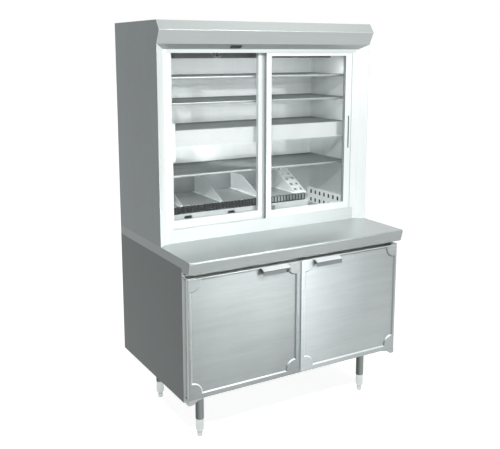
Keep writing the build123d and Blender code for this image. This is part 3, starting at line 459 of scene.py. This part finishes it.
def stackLoops(loops):
    # closes the rings of points into one solid with flat ends
    count = len(loops[0])
    points = [point for loop in loops for point in loop]
    faces = []
    for k in range(len(loops) - 1):
        for i in range(count):
            j = (i + 1) % count
            faces.append((k * count + i, k * count + j, (k + 1) * count + j, (k + 1) * count + i))
    faces.append(tuple(range(count)))
    faces.append(tuple(range((len(loops) - 1) * count, len(loops) * count)))
    return points, faces


def ringAround(place, reaches, height, axis="Z"):
    # one point for each reach, evenly turned about the axis, at a height along it
    ring = []
    for i, reach in enumerate(reaches):
        turn = 2 * math.pi * i / len(reaches)
        a, b = reach * math.cos(turn), reach * math.sin(turn)
        offset = {"X": (height, a, b), "Y": (a, height, b), "Z": (a, b, height)}[axis]
        ring.append(tuple(place[n] + offset[n] for n in range(3)))
    return ring


def turned(profile, steps, place, axis="Z"):
    # profile is (radius, height) pairs along the axis from the place
    return stackLoops([ringAround(place, [radius] * steps, height, axis) for radius, height in profile])


def ringWire(place, radius, wire, steps, sides):
    # a round wire ring that looks along Y
    points, faces = [], []
    for i in range(steps):
        turn = 2 * math.pi * i / steps
        for k in range(sides):
            tilt = 2 * math.pi * k / sides
            reach = radius + wire * math.cos(tilt)
            points.append((place[0] + reach * math.cos(turn), place[1] + wire * math.sin(tilt),
                           place[2] + reach * math.sin(turn)))
            faces.append((i * sides + k, i * sides + (k + 1) % sides,
                          (i + 1) % steps * sides + (k + 1) % sides, (i + 1) % steps * sides + k))
    return points, faces


def mitredFrame(low, high, section, flat="XZ"):
    # sweeps (inward, deep) points around a rectangle, with mitred corners
    first, second = "XYZ".index(flat[0]), "XYZ".index(flat[1])
    third = 3 - first - second
    points, faces = [], []
    for atFirst, atSecond in ((0, 0), (1, 0), (1, 1), (0, 1)):
        for inward, deep in section:
            point = [0.0, 0.0, 0.0]
            point[first] = high[first] - inward if atFirst else low[first] + inward
            point[second] = high[second] - inward if atSecond else low[second] + inward
            point[third] = low[third] + deep
            points.append(tuple(point))
    count = len(section)
    for k in range(4):
        n = (k + 1) % 4
        for i in range(count):
            j = (i + 1) % count
            faces.append((k * count + i, k * count + j, n * count + j, n * count + i))
    return points, faces


# Bellows gaskets: magnet pocket, folded neck and foot strip, mitred at the corners
gasket = {
    "section": [(1.0, 0.0), (13.0, 0.0), (13.4, 0.8), (13.0, 1.6), (11.3, 2.1), (10.5, 3.0), (11.2, 3.9),
                (12.9, 4.5), (13.7, 5.5), (14.0, 7.2), (13.8, 8.7), (12.9, 9.5), (11.0, 9.7), (8.6, 9.5),
                (7.0, 9.4), (5.4, 9.5), (3.0, 9.7), (1.1, 9.5), (0.2, 8.7), (0.0, 7.2), (0.3, 5.5),
                (1.1, 4.5), (2.8, 3.9), (3.5, 3.0), (2.7, 2.1), (1.0, 1.6), (0.6, 0.8)],
}
for side in ("left", "right"):
    low, high = corners("door_" + side + "_gasket")
    piece = addPiece("bellowsGasket_" + side, [mitredFrame(low, high, gasket["section"])],
                     "door_" + side + "_leaf", "gasketVinyl")
    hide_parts("door_" + side + "_gasket")
print("gaskets made")

# Raised ring formed into each door's liner, inside the gasket
liner = {
    "inset": 34.0,
    "section": [(0.0, 0.0), (1.2, 1.6), (2.6, 4.2), (4.6, 5.8), (7.2, 6.4), (18.8, 6.4), (21.4, 5.8),
                (23.4, 4.2), (24.8, 1.6), (26.0, 0.0), (13.0, -0.3)],
}
for side in ("left", "right"):
    low, high = corners("door_" + side + "_liner")
    inside = [low[0] + liner["inset"], high[1], low[2] + liner["inset"]]
    outside = [high[0] - liner["inset"], high[1], high[2] - liner["inset"]]
    addPiece("linerRing_" + side, [mitredFrame(inside, outside, liner["section"])],
             "door_" + side + "_leaf", "linerPlastic", smooth=50.0)
print("liner rings made")

# Turned bullet feet: rounded tip, dark groove, cone, body, and a threaded stem
foot = {
    "steps": 40,
    "tip": [(6.0, 0.0), (9.0, 0.5), (11.2, 2.0), (12.6, 4.6), (13.0, 8.0), (13.0, 21.0), (12.3, 23.0),
            (10.4, 23.8), (10.4, 26.2), (13.4, 27.0), (14.6, 28.6), (18.9, 37.0), (19.5, 38.6),
            (19.5, 91.9), (18.7, 92.7)],
    "stemRadius": 9.4,
    "threadDepth": 0.9,
    "threadPitch": 2.5,
    "threadRise": 0.1,
}
rootRadius = foot["stemRadius"] - foot["threadDepth"]
for end, mark in (("front_left", "fl"), ("front_right", "fr"), ("back_left", "bl"), ("back_right", "br")):
    low, high = corners("foot_" + end)
    middle = [(low[0] + high[0]) / 2, (low[1] + high[1]) / 2, low[2]]
    profile = list(foot["tip"])
    height = profile[-1][1]
    while height + foot["threadPitch"] < high[2] - low[2]:
        profile.append((rootRadius, height + foot["threadRise"]))
        profile.append((foot["stemRadius"], height + foot["threadPitch"] / 2))
        height += foot["threadPitch"]
    profile.append((rootRadius, high[2] - low[2]))
    piece = addPiece("turnedFoot_" + end, [turned(profile, foot["steps"], middle)], "foot_" + mark,
                     "footBright", smooth=40.0)
    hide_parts("foot_" + end)
print("feet made")

# Wire shelves: a flat bar frame, round wires half an inch apart, or an inch in the base, and two rods
# crossing under them
deck = {
    "bar": 5.0,
    "barRound": 0.7,
    "wireRadius": 2.2,
    "wireSides": 8,
    "wireDrop": 0.2,
    "wirePitch": 12.7,
    "basePitch": 25.4,
    "rodRadius": 2.1,
    "rodSides": 12,
    "rodBelow": 7.9,
    "rodShort": 4.0,
    "rodEnd": [(0.4, 0.0), (0.85, 0.8), (1.0, 1.8)],  # share of the radius, and mm from the end
    "rodsFromFront": (0.3, 0.65),
}
for node in ("shelf_1", "shelf_2", "shelf_3", "shelf_4", "base_shelf"):
    low, high = corners(node)
    tall, bar, soft = high[2] - low[2], deck["bar"], deck["barRound"]
    section = [(0.0, soft), (soft, 0.0), (bar - soft, 0.0), (bar, soft), (bar, tall - soft),
               (bar - soft, tall), (soft, tall), (0.0, tall - soft)]
    solids = [mitredFrame(low, high, section, "XY")]
    pitch = deck["basePitch"] if node == "base_shelf" else deck["wirePitch"]
    count = int((high[0] - low[0] - 2 * bar) / pitch)
    r = deck["wireRadius"]
    line = [(r, low[1] + bar / 2), (r, high[1] - bar / 2)]  # the wires end halfway into the bars
    for i in range(count):
        across = (i - (count - 1) / 2) * pitch
        solids.append(turned(line, deck["wireSides"], (across, 0.0, high[2] - deck["wireDrop"] - r), "Y"))
    r = deck["rodRadius"]
    reach = high[0] - deck["rodShort"]
    line = [(r * share, -reach + along) for share, along in deck["rodEnd"]]
    line += [(r * share, reach - along) for share, along in reversed(deck["rodEnd"])]
    for share in deck["rodsFromFront"]:
        middle = (0.0, low[1] + share * (high[1] - low[1]), high[2] - deck["rodBelow"])
        solids.append(turned(line, deck["rodSides"], middle, "X"))
    piece = addPiece("wire_" + node, solids, "cabinet", "wireChrome", smooth=50.0)
    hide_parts(node)
print("shelves made")

# Crimped caps on the tubes' ends
tubeCap = {
    "steps": 28,
    "lift": 0.35,
    "past": 0.4,
    "line": [(-1.4, 0.0), (0.0, 0.6), (0.0, 4.0), (-0.3, 4.6), (0.0, 5.2), (0.0, 10.8), (-0.3, 11.6),
             (-0.9, 12.0)],  # change of radius, and mm from the end
}
low, high = corners("lamps")
lampSpots = []
for vertex in nodes["lamps"].data.vertices:
    if vertex.co.x > 0:
        lampSpots.append((round(1000 * vertex.co.y, 2), round(1000 * vertex.co.z, 2)))
halfway = (low[2] + high[2]) / 2
solids = []
for part in (1, -1):  # the upper tube, then the lower
    ys, zs = zip(*[spot for spot in lampSpots if (spot[1] - halfway) * part > 0])
    middle = (0.0, (min(ys) + max(ys)) / 2, (min(zs) + max(zs)) / 2)
    r = (max(zs) - min(zs)) / 2 + tubeCap["lift"]
    for sign in (-1, 1):
        line = [(r + change, sign * (high[0] - tubeCap["past"] - along))
                for change, along in tubeCap["line"]]
        solids.append(turned(line, tubeCap["steps"], middle, "X"))
addPiece("tubeCaps", solids, "cabinet", "capAluminium", smooth=35.0)
print("tube caps made")

# Wire guards over the two fan inlets: rings, with four bars across in front of them
guard = {
    "rings": (12.0, 22.0, 32.0, 39.0),
    "ringSteps": 48,
    "ringSides": 10,
    "wire": 1.1,
    "gap": 0.1,
    "bars": 4,
    "barRadius": 0.9,
    "barSides": 8,
    "barOff": 1.6,
    "fanX": 230.0,
}
low, high = corners("evap_housing")
for side, sign in (("left", -1), ("right", 1)):
    middle = (sign * guard["fanX"], low[1] - guard["wire"] - guard["gap"], (low[2] + high[2]) / 2)
    solids = [ringWire(middle, radius, guard["wire"], guard["ringSteps"], guard["ringSides"])
              for radius in guard["rings"]]
    reach, r = guard["rings"][-1], guard["barRadius"]
    for k in range(guard["bars"]):
        turn = math.pi * (k + 0.5) / guard["bars"]
        along, across = (math.cos(turn), math.sin(turn)), (-math.sin(turn), math.cos(turn))
        loops = []
        for step in (-reach, reach):
            loop = []
            for i in range(guard["barSides"]):
                tilt = 2 * math.pi * i / guard["barSides"]
                loop.append((middle[0] + along[0] * step + across[0] * r * math.cos(tilt),
                             middle[1] - guard["barOff"] + r * math.sin(tilt),
                             middle[2] + along[1] * step + across[1] * r * math.cos(tilt)))
            loops.append(loop)
        solids.append(stackLoops(loops))
    addPiece("fanGuard_" + side, solids, "cabinet", "capAluminium", smooth=60.0)
print("fan guards made")

# Dark sheets behind the holes of the two strips, as painted shade of the ducts
shadeSheet = {
    "thick": 0.8,
    "off": 0.3,
    "above": 2.0,
    "below": 4.0,
    "ends": 3.0,
    "bevel": 0.25,
}
low, high = corners("duct_strips")
far = high[0] - shadeSheet["off"]
near = far - shadeSheet["thick"]
y0, y1 = low[1] + shadeSheet["ends"], high[1] - shadeSheet["ends"]
z0, z1 = low[2] + shadeSheet["above"], high[2] - shadeSheet["below"]
bevel = shadeSheet["bevel"]
for side, sign in (("left", -1), ("right", 1)):
    loops = []
    for x, inset in ((near, bevel), (near + bevel, 0.0), (far, 0.0)):
        loops.append([(sign * x, y0 + inset, z0 + inset), (sign * x, y1 - inset, z0 + inset),
                      (sign * x, y1 - inset, z1 - inset), (sign * x, y0 + inset, z1 - inset)])
    addPiece("ductShadeSheet_" + side, [stackLoops(loops)], "cabinet", "ductShade",
             smooth=20.0)
print("duct openings made")


# Screws and bolts

hexSteps = 24


def hexReaches(half, limit=None):
    # distances from the centre to a hexagon's sides, one for each step round it, none past the limit
    turns = [360.0 / hexSteps * i % 60.0 - 30.0 for i in range(hexSteps)]
    reaches = [half / math.cos(math.radians(turn)) for turn in turns]
    return [min(reach, limit) for reach in reaches] if limit else reaches


# Button head screws on the hinges' upper plates: a dome with a six-sided socket, looking forward
screw = {
    "flangeX": (572.5, 597.5),
    "faceY": -338.5,
    "belowTop": 9.0,
    "dome": [(4.2, 0.0), (4.2, -0.5), (3.78, -1.426), (2.772, -2.116), (2.1, -2.3)],
    "socketHalf": 1.7,
    "socketDepths": (-2.25, -0.69),
}
for side, sign in (("left", -1), ("right", 1)):
    low, high = corners("hinges_" + side)
    solids = []
    for x in screw["flangeX"]:
        place = (sign * x, screw["faceY"], high[2] - screw["belowTop"])
        rings = [ringAround(place, [radius] * hexSteps, height, "Y") for radius, height in screw["dome"]]
        rings += [ringAround(place, hexReaches(screw["socketHalf"]), height, "Y")
                  for height in screw["socketDepths"]]
        solids.append(stackLoops(rings))
    addPiece("hingeScrews_" + side, solids, "cabinet", "boltZinc", smooth=35.0)

# Hexagon heads under each leg's plate, with their corners turned off
bolt = {
    "half": 6.5,
    "rings": [(0.0, None), (4.0, None), (4.2, 6.5), (5.0, 5.33)],  # mm down, and the widest reach there
    "fromLeg": 32.0,
    "legX": 487.0,
    "legIn": 45.0,
    "plateThick": 5.0,
}
low, high = corners("legs")
plateUnder = high[2] - bolt["plateThick"]
solids = []
for legX in (-bolt["legX"], bolt["legX"]):
    for legY in (low[1] + bolt["legIn"], high[1] - bolt["legIn"]):
        for stepX in (-bolt["fromLeg"], bolt["fromLeg"]):
            for stepY in (-bolt["fromLeg"], bolt["fromLeg"]):
                place = (legX + stepX, legY + stepY, plateUnder)
                solids.append(stackLoops([ringAround(place, hexReaches(bolt["half"], limit), -down)
                                          for down, limit in bolt["rings"]]))
addPiece("legBolts", solids, "cabinet", "boltZinc", smooth=35.0)

# Plain round plug near the left pull's inner end
plug = {
    "fromEnd": 17.5,
    "above": 8.9,
    "steps": 28,
    "line": [(8.2, 0.3), (8.2, -0.6), (7.5, -1.2), (6.0, -1.5)],
}
low, high = corners("handle_left")
spot = (high[0] - plug["fromEnd"], low[1], low[2] + plug["above"])
addPiece("pullPlug", [turned(plug["line"], plug["steps"], spot, "Y")], "door_left_leaf", "plugGrey",
         smooth=40.0)
print("screws, bolts and plug made")


# Floor, backdrop and world

studio = {
    "floorColour": "#bcbcbc",
    "floorGlow": 0.8,
    "floorReach": 40.0,
    "worldFill": 0.5,
}


def seenRays(tree):
    # 1 for what the camera sees, straight, mirrored or through glass, and 0 for light on the object
    path = addNode(tree, "ShaderNodeLightPath")
    first = addNode(tree, "ShaderNodeMath",
                    links={0: path.outputs["Is Camera Ray"], 1: path.outputs["Is Glossy Ray"]},
                    operation="MAXIMUM")
    return addNode(tree, "ShaderNodeMath",
                   links={0: first.outputs[0], 1: path.outputs["Is Transmission Ray"]},
                   operation="MAXIMUM").outputs[0]


material, tree = newMaterial("paleFloor")
matt = addNode(tree, "ShaderNodeBsdfDiffuse", {"Color": linear(studio["floorColour"])})
level = addNode(tree, "ShaderNodeMath", {1: studio["floorGlow"]}, {0: seenRays(tree)},
                operation="MULTIPLY")
shine = addNode(tree, "ShaderNodeEmission", links={"Strength": level.outputs[0]})
total = addNode(tree, "ShaderNodeAddShader", links={0: matt.outputs["BSDF"], 1: shine.outputs["Emission"]})
addNode(tree, "ShaderNodeOutputMaterial", links={"Surface": total.outputs["Shader"]})
mesh = bpy.data.meshes.new("floor")
reach = studio["floorReach"]
mesh.from_pydata([(-reach, -reach, 0), (reach, -reach, 0), (reach, reach, 0), (-reach, reach, 0)], [],
                 [(0, 1, 2, 3)])
floor = bpy.data.objects.new("floor", mesh)
floor.data.materials.append(material)
scene.collection.objects.link(floor)

world = bpy.data.worlds.new("softStudio")
world.use_nodes = True
tree = world.node_tree
tree.nodes.clear()
level = addNode(tree, "ShaderNodeMapRange", {"To Min": studio["worldFill"], "To Max": 1.0},
                {"Value": seenRays(tree)})
back = addNode(tree, "ShaderNodeBackground", {"Color": (1, 1, 1, 1)}, {"Strength": level.outputs["Result"]})
addNode(tree, "ShaderNodeOutputWorld", links={"Surface": back.outputs["Background"]})
scene.world = world

# Lamps, in metres and watts: two keys in front, a low one whose beam lights the doors, and a soft one
# above. The case's own tubes light its bays; they stay unseen, since the tubes themselves are modelled.
tubeSize = (1.04, 0.016)
studioLamps = {
    "keyRight": {"place": (1.1, -2.6, 2.9), "target": (0.0, 0.0, 1.1), "size": (0.03, 0.03), "power": 47.0},
    "keyLeft": {"place": (-1.9, -2.6, 3.05), "target": (0.2, 0.0, 1.1), "size": (0.03, 0.03), "power": 54.0},
    "lowFront": {"place": (1.02, -2.7, 1.0), "target": (-0.3, -0.38, 0.78), "size": (0.8, 0.3), "power": 1.2,
                 "spread": 32.0},
    "topSoft": {"place": (0.9, -0.3, 3.6), "target": (0.1, -0.2, 1.0), "size": (1.6, 1.6), "power": 12.0},
    "tubeTop": {"place": (0.0, 0.02, 1.775), "target": (0.0, 0.35, 1.43), "size": tubeSize, "power": 1.8},
    "tubeMiddle": {"place": (0.0, 0.024, 1.41), "target": (0.0, 0.25, 1.62), "size": tubeSize, "power": 2.3},
    "tubeBelow": {"place": (0.0, 0.035, 1.37), "target": (0.1, 0.10, 1.0), "size": tubeSize, "power": 0.85,
                  "spread": 95.0},
}
for name, row in studioLamps.items():
    data = bpy.data.lights.new(name, "AREA")
    data.shape = "RECTANGLE"
    data.size, data.size_y = row["size"]
    data.energy = row["power"]
    data.spread = math.radians(row.get("spread", 180.0))
    lamp = bpy.data.objects.new(name, data)
    lamp.location = row["place"]
    lamp.rotation_euler = (Vector(row["target"]) - lamp.location).to_track_quat("-Z", "Y").to_euler()
    if name.startswith("tube"):
        lamp.visible_camera = False
        lamp.visible_glossy = False
    scene.collection.objects.link(lamp)

# Camera at the photograph's place
view = {
    "place": (-1.9413, -3.2034, 1.8278),
    "forward": (0.49837, 0.84922, -0.17449),
    "lens": 52.96,
    "sensor": 36.0,
    "shiftY": -0.0855,
    "clipEnd": 200.0,
}
camera = bpy.data.objects.new("camera", bpy.data.cameras.new("camera"))
camera.location = view["place"]
camera.rotation_euler = Vector(view["forward"]).to_track_quat("-Z", "Y").to_euler()
camera.data.lens = view["lens"]
camera.data.sensor_width = view["sensor"]
camera.data.sensor_fit = "HORIZONTAL"
camera.data.shift_y = view["shiftY"]
camera.data.clip_end = view["clipEnd"]
scene.collection.objects.link(camera)
scene.camera = camera
scene.view_settings.view_transform = "Standard"
print("studio ready")
